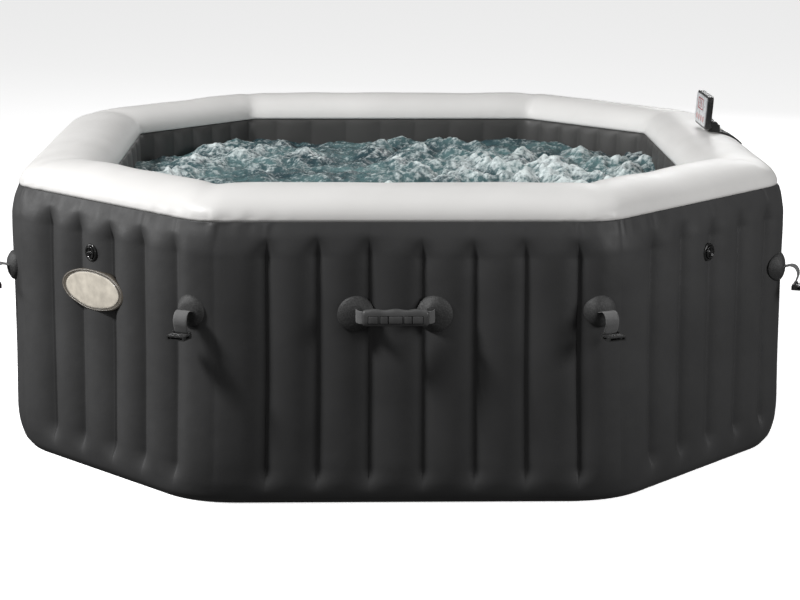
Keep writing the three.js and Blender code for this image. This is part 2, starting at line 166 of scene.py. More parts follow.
def near_corner(t, reach):
    """1 at a corner, falling to 0 over `reach` flutes."""
    gap = np.min(np.abs(np.mod(t[:, None], FLUTES) - STARTS[None, :]), axis=1)
    return np.exp(-((gap / reach) ** 2))


# ---------------------------------------------------------------- materials
class Nodes:
    """A short way to write a material's nodes."""

    def __init__(self, name):
        self.material = bpy.data.materials.new(name)
        self.material.use_nodes = True
        self.tree = self.material.node_tree
        self.shader = self.tree.nodes["Principled BSDF"]
        self.place = self.add("ShaderNodeTexCoord").outputs["Object"]

    def add(self, kind, **settings):
        node = self.tree.nodes.new(kind)
        for key, value in settings.items():
            if key in node.inputs:
                node.inputs[key].default_value = value
            else:
                setattr(node, key, value)
        return node

    def link(self, source, target):
        self.tree.links.new(source, target)

    def noise(self, scale, detail=2.0, rough=0.5, place=None):
        node = self.add("ShaderNodeTexNoise", Scale=scale, Detail=detail, Roughness=rough)
        self.link(place or self.place, node.inputs["Vector"])
        return node.outputs["Fac"]

    def span(self, value, low, high, out_low, out_high):
        node = self.add("ShaderNodeMapRange")
        for name, number in (("From Min", low), ("From Max", high), ("To Min", out_low),
                             ("To Max", out_high)):
            node.inputs[name].default_value = number
        self.link(value, node.inputs["Value"])
        return node.outputs["Result"]

    def mix(self, factor, first, second):
        node = self.add("ShaderNodeMix", data_type="RGBA")
        for socket, value in ((0, factor), (6, first), (7, second)):
            if hasattr(value, "links"):
                self.link(value, node.inputs[socket])
            else:
                node.inputs[socket].default_value = value
        return node.outputs[2]

    def bump(self, height, strength, distance, before=None):
        node = self.add("ShaderNodeBump", Strength=strength, Distance=distance)
        self.link(height, node.inputs["Height"])
        if before:
            self.link(before, node.inputs["Normal"])
        return node.outputs["Normal"]

    def set(self, **values):
        for key, value in values.items():
            socket = self.shader.inputs[key.replace("_", " ")]
            if hasattr(value, "links"):
                self.link(value, socket)
            else:
                socket.default_value = value
        return self


def gray(value, tint=(1, 1, 1)):
    return tuple(value * part for part in tint) + (1,)


def vinyl(name, dark, light, rough, grain=0.12, crease=0.25, specular=0.4):
    """Calendered PVC skin: mottled colour, a fine pebble grain and faint creases."""
    nodes = Nodes(name)
    cloud = nodes.noise(5, 3)
    color = nodes.mix(nodes.span(cloud, 0.3, 0.7, 0, 1), dark, light)
    pebble = nodes.add("ShaderNodeTexVoronoi", Scale=520.0, feature="SMOOTH_F1")
    nodes.link(nodes.place, pebble.inputs["Vector"])
    fold = nodes.noise(14, 4, 0.55)
    normal = nodes.bump(fold, crease, 0.006)
    normal = nodes.bump(pebble.outputs["Distance"], grain, 0.0006, normal)
    nodes.set(Base_Color=color,
              Roughness=nodes.span(nodes.noise(30, 3), 0.3, 0.7, rough - 0.05, rough + 0.06))
    nodes.set(Normal=normal)
    nodes.shader.inputs["Specular IOR Level"].default_value = specular
    return nodes.material


def plastic(name, color, rough, grain=0.1):
    """Moulded plastic: spark-eroded texture, slight unevenness in its gloss."""
    nodes = Nodes(name)
    cloud = nodes.noise(40, 3)
    other = tuple(min(1, part * 1.35) for part in color[:3]) + (1,)
    nodes.set(Base_Color=nodes.mix(nodes.span(cloud, 0.35, 0.7, 0, 1), color, other))
    nodes.set(Roughness=nodes.span(nodes.noise(90, 2), 0.3, 0.7, rough - 0.06, rough + 0.08))
    nodes.set(Normal=nodes.bump(nodes.noise(1600, 2), grain, 0.0004))
    return nodes.material


def rubber(name, color):
    """Welded patch rubber, with the coarse pebble of a cast face, its ridges painted lighter as a highlight.
    """
    nodes = Nodes(name)
    pebble = nodes.add("ShaderNodeTexVoronoi", Scale=330.0, feature="SMOOTH_F1")
    nodes.link(nodes.place, pebble.inputs["Vector"])
    # painted highlight: the pebble's ridges are coloured up to 2.2 times lighter than its hollows
    lighter = tuple(part * 2.2 for part in color[:3]) + (1,)
    nodes.set(Base_Color=nodes.mix(nodes.span(pebble.outputs["Distance"], 0.1, 0.7, 0, 1), color, lighter))
    nodes.set(Roughness=0.62, Normal=nodes.bump(pebble.outputs["Distance"], 0.55, 0.0012))
    return nodes.material


def webbing(name, color):
    """Woven polyester webbing: two fine sets of bands across each other."""
    nodes = Nodes(name)
    bands = []
    for direction in ("X", "Z"):
        wave = nodes.add("ShaderNodeTexWave", Scale=190.0, bands_direction=direction, wave_profile="SIN")
        nodes.link(nodes.place, wave.inputs["Vector"])
        bands.append(wave.outputs["Fac"])
    weave = nodes.add("ShaderNodeMath", operation="MULTIPLY")
    nodes.link(bands[0], weave.inputs[0])
    nodes.link(bands[1], weave.inputs[1])
    lighter = tuple(part * 1.9 for part in color[:3]) + (1,)
    nodes.set(Base_Color=nodes.mix(weave.outputs[0], color, lighter), Roughness=0.78)
    nodes.set(Normal=nodes.bump(weave.outputs[0], 0.6, 0.0006))
    nodes.shader.inputs["Sheen Weight"].default_value = 0.15
    return nodes.material


WALL = vinyl("wall_vinyl", gray(0.049, (1, 1, 1.01)), gray(0.061, (1, 1, 1.01)), 0.48, specular=0.24)
RIM = vinyl("rim_vinyl", (0.73, 0.72, 0.705, 1), (0.79, 0.78, 0.765, 1), 0.42, grain=0.08, crease=0.1)
INNER = vinyl("inner_vinyl", gray(0.052, (1, 0.985, 0.96)), gray(0.066, (1, 0.985, 0.96)), 0.5)
PATCH = rubber("patch_rubber", gray(0.026))
STRAP = webbing("strap_webbing", gray(0.115))
BLACK = plastic("black_plastic", gray(0.014), 0.22)
GRIP = plastic("grip_plastic", gray(0.075), 0.42, 0.2)
BUCKLE = plastic("buckle_plastic", gray(0.034), 0.3, 0.15)
FITTING = plastic("fitting_plastic", gray(0.085, (0.98, 1, 1.05)), 0.42)
SILVER = plastic("silver_plastic", gray(0.56, (0.99, 1, 1.02)), 0.3, 0.05)
CREAM = plastic("badge_vinyl", (0.55, 0.505, 0.43, 1), 0.5, 0.05)
BADGE_EDGE = plastic("badge_edge", (0.085, 0.072, 0.056, 1), 0.5, 0.05)
# painted highlight: the raised badge lines are coloured lighter than the border
LINE_HIGHLIGHT = plastic("badge_line", (0.30, 0.285, 0.26, 1), 0.25, 0.03)
RED = plastic("display_red", (0.32, 0.015, 0.02, 1), 0.3, 0.02)
PINK = plastic("button_pink", (0.48, 0.27, 0.27, 1), 0.4, 0.05)
BEAM = webbing("beam_fabric", gray(0.25))


# ---------------------------------------------------------------- the soft skins
def flute_positions():
    """t of every column, gathered close to the welds where the surface turns fastest."""
    across = [-1, -0.978, -0.94, -0.88, -0.79, -0.66, -0.48, -0.25, 0, 0.25, 0.48, 0.66, 0.79, 0.88, 0.94,
              0.978]
    columns = [flute + 0.5 * side for flute in range(FLUTES) for side in across]
    return np.array(columns) + PHASE


def flute_side(t):
    """-1 to 1 across each flute, 0 on its crown."""
    return 2 * (np.mod(t - PHASE + 0.5, 1) - 0.5)


CROWN = [(0, 0.950), (0.005, 0.9625), (0.02, 0.9725), (0.05, 0.9785), (0.1, 0.981), (0.33, 0.9815),
         (0.55, 0.979),
         (0.6, 0.9765), (0.64, 0.968), (SEAM_Z - 0.008, 0.9605), (SEAM_Z + 0.008, 0.9535)]
WALL_FACES = [(0, 0.490), (0.06, 0.486), (0.33, 0.476), (0.6, 0.474), (SEAM_Z, SEAM_FACE)]
WALL_HEIGHTS = np.concatenate([
    [0.0, 0.002, 0.005, 0.009, 0.014, 0.02, 0.028, 0.037],
    np.linspace(0.046, 0.15, 18), np.linspace(0.17, 0.56, 16),
    np.linspace(0.572, SEAM_Z - 0.002, 36), [SEAM_Z],
])


def ease(value, low, high):
    share = np.clip((value - low) / (high - low), 0, 1)
    return share * share * (3 - 2 * share)


def wrapping(t):
    """1 at the one weld that each corner's wide flute passes over, just past the corner."""
    gap = np.min(np.abs(np.mod(t[:, None], FLUTES) - STARTS[None, :] - 0.5 - PHASE), axis=1)
    return np.exp(-((gap / 0.5) ** 4))


def pillow(side):
    """The section of one flute: 1 on the crown, 0 at the weld, with the weld's groove rounded out."""
    spread = np.linspace(-0.09, 0.09, 9)[:, None]
    folded = np.abs(np.abs(side)[None, :] + spread)
    folded = np.where(folded > 1, 2 - folded, folded)
    return np.mean((1 - folded**2) ** 0.85, axis=0)


def wall_ring(t, z):
    """The outer wall at one height: a barrel pressed in along each weld between a plain top and foot."""
    side = flute_side(t)
    flute = (np.floor(t - PHASE + 0.5) % FLUTES).astype(int)
    own = np.random.default_rng(3).random((3, FLUTES + 1))
    weld = (np.floor(t - PHASE) % FLUTES).astype(int)
    top = 0.634 - 0.012 * own[1][weld] + 0.008 * np.sin(np.pi * side) * (own[2][flute] - 0.5)
    groove = FLUTE_DEPTH * (0.86 + 0.28 * own[0][flute]) * (1 - pillow(side))
    groove = groove * ease(z, 0.030, 0.090) * (1 - ease(z, top - 0.045, top + 0.012))
    groove = groove * (1 - 0.9 * wrapping(t))
    swell = 0.0025 * pillow(side) * ease(z, 0.02, 0.08) * (1 - ease(z, 0.61, 0.662))
    below = SEAM_Z - z
    fold_depth = 0.0002 + 0.0022 * near_corner(t, 1.5)
    pucker = fold_depth * math.exp(-((below / 0.03) ** 2)) * waves(t, 90, 330, 9, 11)
    pucker = pucker * min(1, below / 0.006)
    sway = 0.0011 * waves(t, 5, 30, 5, 12) * math.sin(math.pi * z / SEAM_Z)
    rounding = 0.45 + 0.35 * math.exp(-((z / 0.06) ** 2)) + 0.30 * math.sin(math.pi * z / SEAM_Z)
    plan, normal = outline(t, curve(z, CROWN), curve(z, WALL_FACES), rounding)
    out = (swell - groove + pucker + sway)[:, None]
    return np.column_stack([plan + normal * out, np.full(len(t), z)])


def skin(name, rings, closed, material, body="tub", thickness=None):
    piece = add_object(name, ring_mesh(name, rings, closed), material)
    if thickness:
        shell = piece.modifiers.new("thickness", "SOLIDIFY")
        shell.thickness = thickness
        shell.offset = -1
    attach(piece, body)
    return piece


def make_wall():
    t = flute_positions()
    rings = [wall_ring(t, z) for z in WALL_HEIGHTS]
    # a lip turned in under the rim, and another under the foot, so that no edge is left open to view
    lip, _ = outline(t, SEAM_HALF - 0.012, SEAM_FACE - 0.004, 0.45)
    sole, _ = outline(t, 0.925, 0.488, 0.8)
    rings.append(np.column_stack([lip, np.full(len(t), SEAM_Z - 0.002)]))
    rings.insert(0, np.column_stack([sole, np.full(len(t), 0.0012)]))
    piece = skin("wall_skin", rings, False, WALL, thickness=0.0025)
    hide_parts("outer_wall")
    return piece


def make_rim():
    t = np.arange(0, FLUTES, 0.1)
    rings = []
    steps = 44
    for step in range(steps + 1):
        angle = math.pi * step / steps
        reach = SEAM_HALF - RIM_HALF if angle <= math.pi / 2 else RIM_HALF - INNER_HALF
        across = math.copysign(abs(math.cos(angle)) ** 0.96, math.cos(angle))
        half = RIM_HALF + reach * across
        height = math.sin(angle) ** 0.92
        share = (half - INNER_HALF) / (SEAM_HALF - INNER_HALF)
        face = INNER_FACE + (SEAM_FACE - INNER_FACE) * share
        plan, normal = outline(t, half, face, 0.16 + 0.3 * share)
        low = math.exp(-(((height) / 0.28) ** 2))
        outer = 1 if angle < math.pi / 2 else 0.35
        pucker = (0.00015 + 0.0026 * near_corner(t, 1.5)) * low * min(1, height / 0.1) * outer
        pucker = pucker * waves(t, 90, 330, 9, 11)
        sag = 0.0011 * waves(t, 6, 40, 6, 21) * height
        # each corner is a shallow crease across the arch
        crease = 0.0035 * near_corner(t, 0.28) * height
        base = SEAM_Z + 0.0004
        z = base + (RIM_TOP - base) * height + sag - crease
        rings.append(np.column_stack([plan + normal * pucker[:, None], z]))
    piece = skin("rim_skin", rings, False, RIM, thickness=0.0022)
    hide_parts("rim_cap")


def make_inner_wall():
    t = flute_positions()
    side = np.abs(flute_side(t))
    rings = []
    for z in np.concatenate([np.linspace(0.004, 0.06, 5), np.linspace(0.1, 0.58, 9),
                             np.linspace(0.6, SEAM_Z, 12)]):
        plan, normal = outline(t, INNER_HALF + 0.004, INNER_FACE, 0.2)
        fade = math.sqrt(max(0, 1 - max(0, (z - 0.6) / (SEAM_Z - 0.6)) ** 2))
        swell = 0.004 + 0.008 * pillow(side) * fade
        rings.append(np.column_stack([plan - normal * (swell * min(1, fade + 0.35))[:, None],
                                      np.full(len(t), z)]))
    rings.reverse()
    piece = skin("inner_wall_skin", rings, False, INNER, thickness=0.0025)
    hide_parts("inner_wall")


def make_floor():
    """The base sheet: flat below, and quilted by shallow welds where it is the floor of the tub."""
    t = np.arange(0, FLUTES, 0.25)
    rings = []
    for share in np.linspace(1, 0.04, 50):
        plan, _ = outline(t, BASE_HALF * share, BASE_FACE * share, 0.9)
        inside = min(1, max(0, (0.74 - BASE_HALF * share) / 0.02))
        quilt = 0.0035 * inside * (0.5 + 0.5 * np.cos(2 * np.pi * BASE_HALF * share / 0.12))
        rings.append(np.column_stack([plan, 0.0025 + quilt * np.ones(len(t))]))
    middle = rings[-1].mean(axis=0)
    rings.append(np.tile(middle, (len(t), 1)))
    under = []
    for share in (0.001, 1):
        plan, _ = outline(t, BASE_HALF * share, BASE_FACE * share, 0.9)
        under.append(np.column_stack([plan, np.zeros(len(t))]))
    piece = skin("floor_sheet", under + rings, False, INNER)
    merge = piece.modifiers.new("close", "WELD")
    merge.merge_threshold = 0.0004
    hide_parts("base_sheet")


# ---------------------------------------------------------------- water
# x, y, reach, strength of each foamy patch
FOAMY = ((-0.42, 0.40, 0.28, 0.75), (-0.62, 0.02, 0.16, 0.8), (0.40, 0.10, 0.46, 0.95),
         (-0.05, -0.40, 0.24, 0.75),
         (0.10, 0.52, 0.26, 0.6), (0.55, -0.30, 0.26, 0.9), (-0.35, -0.30, 0.18, 0.45))


def surge(x, y):
    """The height over the mean, in metres, and the foam, 0 to 1, of the churned surface."""
    place = Vector((x, y, 0))
    boil = max(s * math.exp(-((x - a) ** 2 + (y - b) ** 2) / r**2) for a, b, r, s in FOAMY)
    boil = min(1, boil * (1 + 0.5 * noise.noise(place * 7 + Vector((3, 3, 8)))))
    swell = noise.fractal(place * 3.2 + Vector((4, 9, 1)), 1.0, 2.1, 3)
    mound = max(0, 0.34 + noise.fractal(place * 10 + Vector((1, 2, 3)), 1.1, 2.0, 3))
    chop = noise.ridged_multi_fractal(place * 20 + Vector((5, 1, 7)), 0.8, 2.2, 4, 0.9, 2.0) - 1.1
    froth = noise.turbulence(place * 75, 3, False) - 0.4
    height = 0.012 * swell + (0.28 + boil) * (0.046 * mound + 0.005 * chop)
    height = height + 0.0030 * (0.4 + boil) * froth - 0.014
    foam = 0.62 * boil * (0.35 + 1.3 * mound) + 0.12 * chop + 0.50 * froth + 0.16 * (0.6 + swell)
    return height, min(1, max(0, foam))


def make_water():
    """Churned water: mounds of foam over jets, in a dark pool."""
    spacing = 0.0052
    count = int(2 * 0.745 / spacing)
    axis = np.linspace(-0.745, 0.745, count)
    mesh = bpy.data.meshes.new("water")
    bm = bmesh.new()
    foam_layer = bm.verts.layers.float.new("foam")
    made = []
    for y in axis:
        for x in axis:
            height, foam = surge(x, y)
            vert = bm.verts.new((x, y, WATER_Z + height))
            vert[foam_layer] = foam
            made.append(vert)
    for face in grid_faces(count, count, wrap_columns=False):
        bm.faces.new([made[corner] for corner in face])
    chamfer = (INNER_HALF + INNER_FACE) / math.sqrt(2)
    for turn in range(8):
        angle = math.radians(45 * turn)
        reach = (INNER_HALF if turn % 2 == 0 else chamfer) - 0.004
        normal = Vector((math.cos(angle), math.sin(angle), 0))
        geometry = bm.verts[:] + bm.edges[:] + bm.faces[:]
        bmesh.ops.bisect_plane(bm, geom=geometry, plane_co=normal * reach, plane_no=normal, clear_outer=True)
    bm.to_mesh(mesh)
    bm.free()
    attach(add_object("water", mesh, water_material()), "tub")


def water_material():
    nodes = Nodes("water")
    broad = nodes.noise(6, 4, 0.6)
    streaks = nodes.noise(34, 5, 0.72)
    fine = nodes.noise(120, 5, 0.7)
    foam = nodes.add("ShaderNodeAttribute", attribute_name="foam").outputs["Fac"]
    total = nodes.add("ShaderNodeMath", operation="ADD")
    nodes.link(foam, total.inputs[0])
    nodes.link(nodes.span(streaks, 0.34, 0.66, -0.30, 0.30), total.inputs[1])
    # fine white specks in the foam colour: partly bubbles, partly painted glints
    foam_and_glints = nodes.add("ShaderNodeMath", operation="ADD")
    nodes.link(total.outputs[0], foam_and_glints.inputs[0])
    nodes.link(nodes.span(fine, 0.3, 0.7, -0.22, 0.22), foam_and_glints.inputs[1])
    white = nodes.span(foam_and_glints.outputs[0], 0.08, 0.78, 0, 1)
    deep = nodes.mix(nodes.span(broad, 0.38, 0.62, 0, 1), (0.032, 0.066, 0.078, 1), (0.115, 0.205, 0.212, 1))
    color = nodes.mix(white, deep, (0.80, 0.87, 0.87, 1))
    bubbles = nodes.add("ShaderNodeTexVoronoi", Scale=150.0, feature="F1")
    nodes.link(nodes.place, bubbles.inputs["Vector"])
    normal = nodes.bump(fine, 0.6, 0.005)
    normal = nodes.bump(bubbles.outputs["Distance"], 0.5, 0.003, normal)
    nodes.set(Base_Color=color, Roughness=nodes.span(white, 0, 1, 0.10, 0.55), Normal=normal)
    nodes.shader.inputs["IOR"].default_value = 1.33
    return nodes.material


# ---------------------------------------------------------------- stations
JOINTS = {joint["name"]: joint for joint in frame["record"]["behaviour"]["joints"]}


def frame_matrix(origin, along, up, out):
    return Matrix.Translation(origin) @ Matrix((along, up, out)).transposed().to_4x4()


def hinge_station(joint, root):
    """A wall frame from a hinge that lies along the wall, `root` metres out of it."""
    along = -Vector(JOINTS[joint]["axis"])
    out = along.cross(Vector((0, 0, 1)))
    return frame_matrix(Vector(JOINTS[joint]["pos_m"]) - out * root, along, Vector((0, 0, 1)), out)


def spin_station(joint, sign=1):
    """A wall frame from a hinge that points straight out of the wall."""
    out = Vector(JOINTS[joint]["axis"]) * sign
    along = Vector((0, 0, 1)).cross(out)
    return frame_matrix(Vector(JOINTS[joint]["pos_m"]), along, Vector((0, 0, 1)), out)


def lathe(name, profile, place, material, segments=64):
    """A solid of revolution about the station's +Z. Its (radius, z) points start and end on the axis."""
    bm = bmesh.new()
    rings = []
    for radius, z in profile:
        if radius == 0:
            rings.append([bm.verts.new((0, 0, z))])
            continue
        turn = [2 * math.pi * i / segments for i in range(segments)]
        rings.append([bm.verts.new((radius * math.cos(a), radius * math.sin(a), z)) for a in turn])
    for low, high in zip(rings, rings[1:]):
        for i in range(segments):
            j = (i + 1) % segments
            corners = [low[0 if len(low) == 1 else i], low[0 if len(low) == 1 else j],
                       high[0 if len(high) == 1 else j], high[0 if len(high) == 1 else i]]
            unique = list(dict.fromkeys(corners))
            if len(unique) > 2:
                bm.faces.new(unique)
    bm.transform(place)
    return add_object(name, from_bmesh(name, bm), material)


class Wall:
    """The wall skin as the fittings see it."""

    def __init__(self, piece):
        mesh = piece.data
        self.tree = BVHTree.FromPolygons([v.co for v in mesh.vertices], [p.vertices for p in mesh.polygons])

    def height(self, place, x, y):
        """How far out of the station's plane the wall stands at (x, y)."""
        away = place.to_3x3() @ Vector((0, 0, 1))
        hit = self.tree.ray_cast(place @ Vector((x, y, 0.3)), -away)[0]
        return (place.inverted() @ hit).z

    def seat(self, place, radius):
        """The highest that the wall stands within radius of the station."""
        ring = [(0, 0)] + [(radius * math.cos(a), radius * math.sin(a))
                           for a in np.linspace(0, 2 * math.pi, 12)]
        return max(self.height(place, x, y) for x, y in ring)


def finish_piece(piece, body, nodes=()):
    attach(piece, body)
    if nodes:
        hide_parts(*nodes)
    return piece


def hinge_across(piece, nodes):
    """Webbing left in place: its transform is baked into its mesh, and the CAD nodes it replaces are hidden.
    """
    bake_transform(piece)
    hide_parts(*nodes)


def close_end(mesh, count):
    """Fills the last ring of a ring mesh."""
    bm = bmesh.new()
    bm.from_mesh(mesh)
    bm.verts.ensure_lookup_table()
    bm.faces.new(bm.verts[-count:])
    bm.to_mesh(mesh)
    bm.free()


def draped(wall, name, place, radii, keys, material, segments=72):
    """A disc laid on the wall. Keys are (share of the radius, lift, hold): hold 0 follows it, 1 is flat."""
    flat = wall.seat(place, 0.75 * min(radii))
    rings = []
    for share, lift, hold in keys:
        ring = []
        for turn in np.linspace(0, 2 * math.pi, segments, endpoint=False):
            x, y = radii[0] * share * math.cos(turn), radii[1] * share * math.sin(turn)
            near = [wall.height(place, x + step, y) for step in (-0.012, -0.006, 0, 0.006, 0.012)]
            soft = 0.5 * max(near) + 0.5 * sum(near) / len(near)
            ring.append(place @ Vector((x, y, (1 - hold) * soft + hold * flat + lift)))
        rings.append(np.array(ring))
    mesh = ring_mesh(name, rings, False)
    if keys[-1][0] < 0.05:
        close_end(mesh, segments)
    piece = add_object(name, mesh, material)
    shell = piece.modifiers.new("thickness", "SOLIDIFY")
    shell.thickness = 0.0015
    shell.offset = -1
    return piece


def dome(wall, name, place, radius, rise=0.0145):
    """A welded patch: a thin edge on the wall and a cushioned middle that stands off it."""
    keys = [(1, -0.003, 0), (1, 0.0004, 0), (0.985, 0.0014, 0)]
    for share in np.linspace(0.965, 0.03, 22):
        keys.append((share, 0.0016 + rise * (1 - share**2) ** 0.62, float(ease(1 - share, 0, 0.5))))
    return draped(wall, name, place, (radius, radius), keys, PATCH)


def smooth_path(points, count):
    """A Catmull-Rom curve through the points."""
    points = np.array(points, float)
    padded = np.vstack([2 * points[0] - points[1], points, 2 * points[-1] - points[-2]])
    samples = []
    for place in np.linspace(0, len(points) - 1 - 1e-6, count):
        i, f = int(place), place - int(place)
        a, b, c, d = padded[i:i + 4]
        doubled = 2 * b + (c - a) * f + (2 * a - 5 * b + 4 * c - d) * f**2 + (3 * b - a - 3 * c + d) * f**3
        samples.append(0.5 * doubled)
    return np.array(samples)


def rounded_section(width, thick, power=5, count=24):
    """Points round a rectangle with soft corners."""
    turn = np.linspace(0, 2 * math.pi, count, endpoint=False)
    across, over = np.cos(turn), np.sin(turn)
    reach = (np.abs(across) ** power + np.abs(over) ** power) ** (-1 / power)
    return np.column_stack([across * reach * width / 2, over * reach * thick / 2])


def tube(name, place, rings, material):
    """A closed solid through rings of points, with its ends capped."""
    mesh = ring_mesh(name, rings, False)
    bm = bmesh.new()
    bm.from_mesh(mesh)
    bm.verts.ensure_lookup_table()
    size, total = len(rings[0]), len(bm.verts)
    bm.faces.new(bm.verts[:size])
    bm.faces.new(bm.verts[total - size:])
    bm.transform(place)
    return add_object(name, from_bmesh(name, bm), material)


def ribbon(name, place, path, across, width, thick, material, count=40):
    """A strap along a path, its width along `across`."""
    middle = smooth_path(path, count)
    run = np.gradient(middle, axis=0)
    run /= np.linalg.norm(run, axis=1)[:, None]
    across = np.array(across, float)
    rings = []
    for point, direction in zip(middle, run):
        over = np.cross(across, direction)
        section = rounded_section(width, thick)
        rings.append(point + section[:, :1] * across + section[:, 1:] * over)
    return tube(name, place, rings, material)


def blocks(name, place, boxes, material, bevel=0.0006):
    """Several small bevelled boxes in one piece, each given by its low and high corners."""
    bm = bmesh.new()
    for low, high in boxes:
        low, high = Vector(low), Vector(high)
        made = bmesh.ops.create_cube(bm, size=1)["verts"]
        shape = Matrix.Translation((low + high) / 2) @ Matrix.Diagonal((*(high - low), 1))
        bmesh.ops.transform(bm, matrix=shape, verts=made)
    bm.transform(place)
    piece = add_object(name, from_bmesh(name, bm), material)
    return soften(piece, bevel, 3)


def make_anchor(wall, number):
    """A cover anchor: a domed patch, an arched strap and half of a side-release buckle."""
    place = hinge_station(f"anchor_strap_{number}_lift", 0.016)
    strap, buckle = f"anchor_strap_{number}", f"anchor_buckle_{number}"
    patch = dome(wall, f"patch_{number}", place, 0.037)
    finish_piece(patch, "tub", [f"anchor_patch_{number}"])
    path = [(0, 0.001, 0.010), (0, 0.004, 0.020), (0, 0.0065, 0.030), (0, 0.0035, 0.040), (0, -0.006, 0.047),
            (0, -0.018, 0.0485), (0, -0.031, 0.0445), (0, -0.0415, 0.040)]
    band = ribbon(f"strap_{number}", place, path, (1, 0, 0), 0.034, 0.0024, STRAP, 60)
    hinge_across(band, [strap])
    rows = []
    for out, up in ((0.0285, 0.0077), (0.0315, 0.0076)):
        for i in range(8):
            x = -0.0135 + 0.0036 * i
            rows.append(((x, up - 0.0004, out - 0.0003), (x + 0.0024, up + 0.0003, out + 0.0003)))
    thread = blocks(f"strap_stitches_{number}", place, rows, GRIP, 0.0002)
    finish_piece(thread, strap)
    ribs = [((-0.0195, -0.0432, z), (0.0195, -0.0416, z + 0.0025)) for z in (0.0505, 0.0555, 0.0605)]
    ribs.append(((-0.0215, -0.0432, 0.0475), (0.0215, -0.0422, 0.0660)))
    ribs.append(((-0.0195, -0.0432, 0.0372), (0.0195, -0.0385, 0.0400)))
    ribs.append(((-0.0222, -0.0432, 0.0372), (-0.0182, -0.0385, 0.0452)))
    ribs.append(((0.0182, -0.0432, 0.0372), (0.0222, -0.0385, 0.0452)))
    detail = blocks(f"buckle_ribs_{number}", place, ribs, BUCKLE, 0.0007)
    finish_piece(detail, buckle)
    node = frame["nodes"][buckle]
    repaint(node, BUCKLE)
    soften(node, 0.0011, 3)


def repaint(node, material):
    node.data.materials.clear()
    node.data.materials.append(material)


def make_grip(name, place):
    """A moulded grip: waved along its top edge, rounded at its ends."""
    rings = []
    for x in np.linspace(-0.075, 0.075, 101):
        end = math.sqrt(max(0.03, 1 - (max(0, abs(x) - 0.069) / 0.0062) ** 2))
        end = 0.6 + 0.4 * end
        height = 0.0380 + 0.0014 * math.cos(2 * math.pi * x / 0.050)
        section = rounded_section(height * end, 0.0195 * end, 3.2, 32)
        centre = 0.0006 * math.cos(2 * math.pi * x / 0.050)
        rings.append(np.column_stack([np.full(32, x), section[:, 0] + centre, 0.040 + section[:, 1]]))
    return tube(name, place, rings, GRIP)


PADS = ((-0.0615, -0.0405), (-0.0345, -0.018), (-0.015, 0.015), (0.0195, 0.036), (0.039, 0.0615))


def make_handle(wall, body):
    place = hinge_station(f"{body}_lift", 0.027)
    for side, label in ((-1, "left"), (1, "right")):
        centre = place @ Matrix.Translation((0.090 * side, 0, 0))
        patch = dome(wall, f"{body}_dome_{label}", centre, 0.042, 0.0118)
        finish_piece(patch, "tub", [f"{body}_patch_{label}"])
    half = [(0.090, 0, 0.012), (0.0885, 0, 0.022), (0.085, 0, 0.031), (0.0785, 0, 0.0380),
            (0.070, 0, 0.040), (0.03, 0, 0.040)]
    path = [(-x, y, z) for x, y, z in half] + half[::-1]
    band = ribbon(f"{body}_band", place, path, (0, 1, 0), 0.030, 0.0024, STRAP, 110)
    hinge_across(band, [f"{body}_strap"])
    finish_piece(make_grip(f"{body}_moulding", place), body, [f"{body}_grip"])
    for face, rise in (("front", 1), ("under", -1)):
        # painted shade: the black frames round each pad sit on the grip's surface and stand in for the shade
        # of grooves
        groove_shade_boxes, proud = [], []
        for low, high in PADS:
            surface = 0.040 + rise * 0.0099
            ends = sorted((surface - rise * 0.003, surface + rise * 0.0002))
            groove_shade_boxes.append(((low - 0.0015, -0.0129, ends[0]), (high + 0.0015, 0.0065, ends[1])))
            ends = sorted((surface - rise * 0.002, surface + rise * 0.0009))
            proud.append(((low, -0.0114, ends[0]), (high, 0.0050, ends[1])))
        groove_shade = blocks(f"{body}_grooves_{face}", place, groove_shade_boxes, BLACK, 0.0008)
        finish_piece(groove_shade, body)
        pads = blocks(f"{body}_pads_{face}", place, proud, GRIP, 0.0009)
        finish_piece(pads, body)


def raised(place, lift):
    return place @ Matrix.Translation((0, 0, lift))


def make_valve(wall, name):
    """A push-in air valve: a dished ring welded to the wall, and a cap with a cross to turn it by."""
    place = spin_station(f"{name}_turn")
    place = raised(place, wall.seat(place, 0.019) - 0.0005)
    ring = [(0, -0.006), (0.0215, -0.006), (0.0218, 0.0005), (0.0212, 0.0022), (0.0196, 0.0036),
            (0.0176, 0.004),
            (0.0164, 0.0034), (0.0160, 0.0008), (0, 0.0006)]
    finish_piece(lathe(f"{name}_ring", ring, place, BLACK), "tub", [f"{name}_body"])
    cap = [(0, 0.001), (0.0150, 0.001), (0.0152, 0.0052), (0.0146, 0.0064), (0.0134, 0.0068),
           (0.0122, 0.0062),
           (0.0118, 0.0044), (0.0045, 0.0042), (0.0040, 0.0064), (0.0030, 0.0070), (0, 0.0072)]
    finish_piece(lathe(f"{name}_lid", cap, place, BLACK), f"{name}_cap", [f"{name}_cap"])
    bars = [((-0.0125, -0.0011, 0.004), (0.0125, 0.0011, 0.0068)),
            ((-0.0011, -0.0125, 0.004), (0.0011, 0.0125, 0.0066))]
    finish_piece(blocks(f"{name}_cross", place, bars, BLACK, 0.0005), f"{name}_cap")


